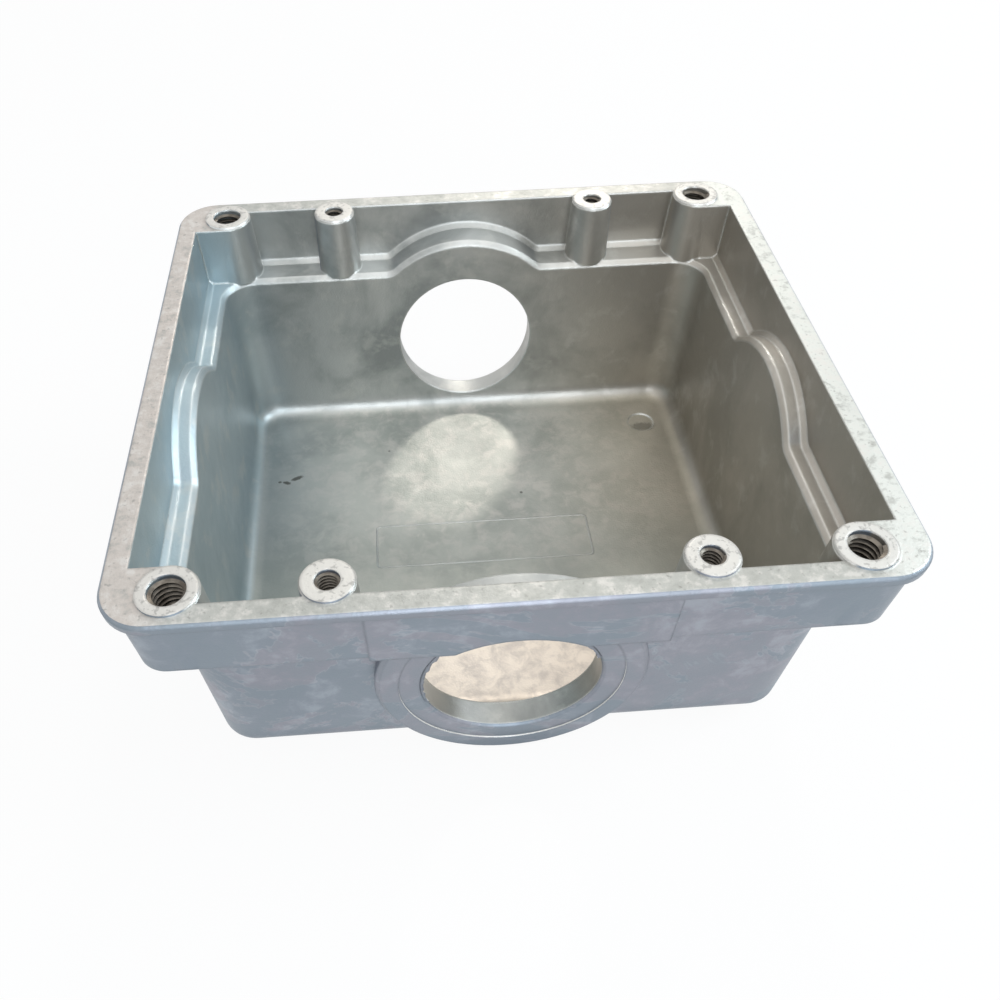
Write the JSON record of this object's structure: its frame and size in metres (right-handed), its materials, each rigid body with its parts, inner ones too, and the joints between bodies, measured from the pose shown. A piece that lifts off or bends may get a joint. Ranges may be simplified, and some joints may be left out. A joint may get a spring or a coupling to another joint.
{
  "type": "die cast housing",
  "caption": "Open die cast aluminium box with a flanged rim, threaded lid bosses and round conduit ports in the front and back walls",
  "frame": {"origin": "Centre of the outline, in the plane that the four round pads stand on", "axes": "+Z runs from the floor to the open mouth, +X along the longer side, -Y out through the front port"},
  "size_m": [0.126, 0.118, 0.056],
  "materials": {
    "cast_aluminium": "as cast, bare, satin"
  },
  "bodies": {
    "root": {"housing": "cast_aluminium"}
  },
  "joints": []
}
